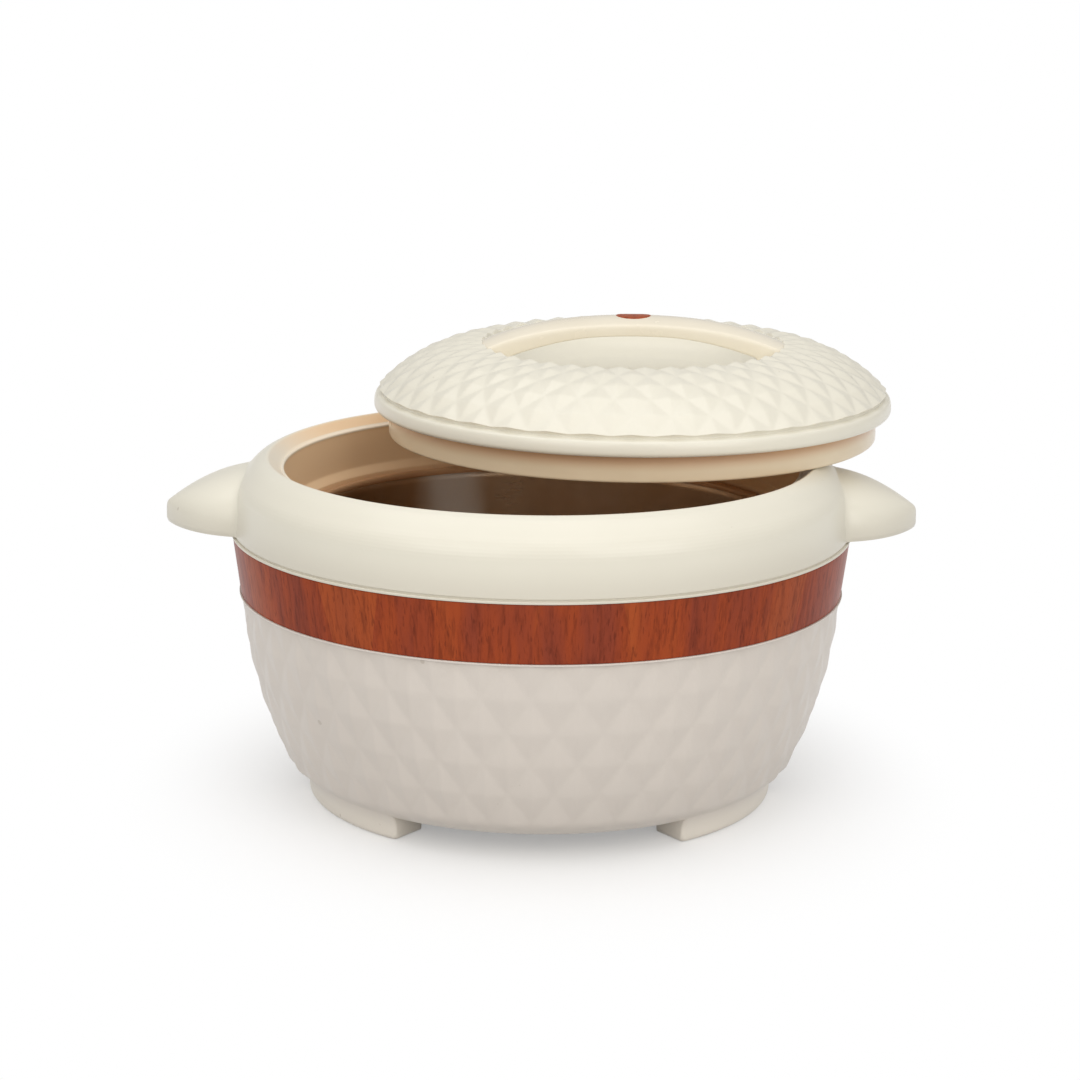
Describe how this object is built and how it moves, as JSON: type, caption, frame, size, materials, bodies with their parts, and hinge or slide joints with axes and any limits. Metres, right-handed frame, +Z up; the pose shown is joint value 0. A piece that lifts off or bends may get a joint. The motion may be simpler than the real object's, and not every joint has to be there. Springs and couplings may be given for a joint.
{
  "type": "insulated bread casserole",
  "caption": "Round foam-insulated flatbread keeper with a studded cream shell, wood-look band, leaf-shaped ears, steel liner and a separate domed lid with an arched grip, resting askew.",
  "frame": {"origin": "centre of the plane the feet stand on, on the pot's axis", "axes": "+Z up along the pot's axis; the two ears and the grip lie along X; the front, as pictured, faces -Y"},
  "size_m": [0.313, 0.289, 0.1945],
  "materials": {
    "cream_shell": "satin moulded cream plastic",
    "cream_rim": "glossy moulded cream plastic",
    "cream_lid": "glossy pearly cream plastic",
    "cream_grip": "glossy moulded cream plastic, a little yellower",
    "wood_print": "lacquered red-brown wood print",
    "liner_steel": "circumferentially brushed",
    "screw_steel": "plain",
    "foam": "rigid polyurethane foam"
  },
  "bodies": {
    "pot": {"outer_shell": "cream_shell", "wood_band": "wood_print", "collar": "cream_rim", "inner_bowl": "liner_steel", "body_foam": "foam", "base_plug": "cream_shell"},
    "lid": {"lid_shell": "cream_lid", "lid_inner": "cream_lid", "lid_foam": "foam", "lid_handle": "cream_grip", "handle_inlay": "wood_print", "handle_screws": "screw_steel", "lid_plug": "cream_lid"}
  },
  "joints": [
    {"name": "lid_lift", "type": "slide", "parent": "pot", "child": "lid", "axis": [0, 0, 1], "range_m": [0, 0.1]}
  ]
}
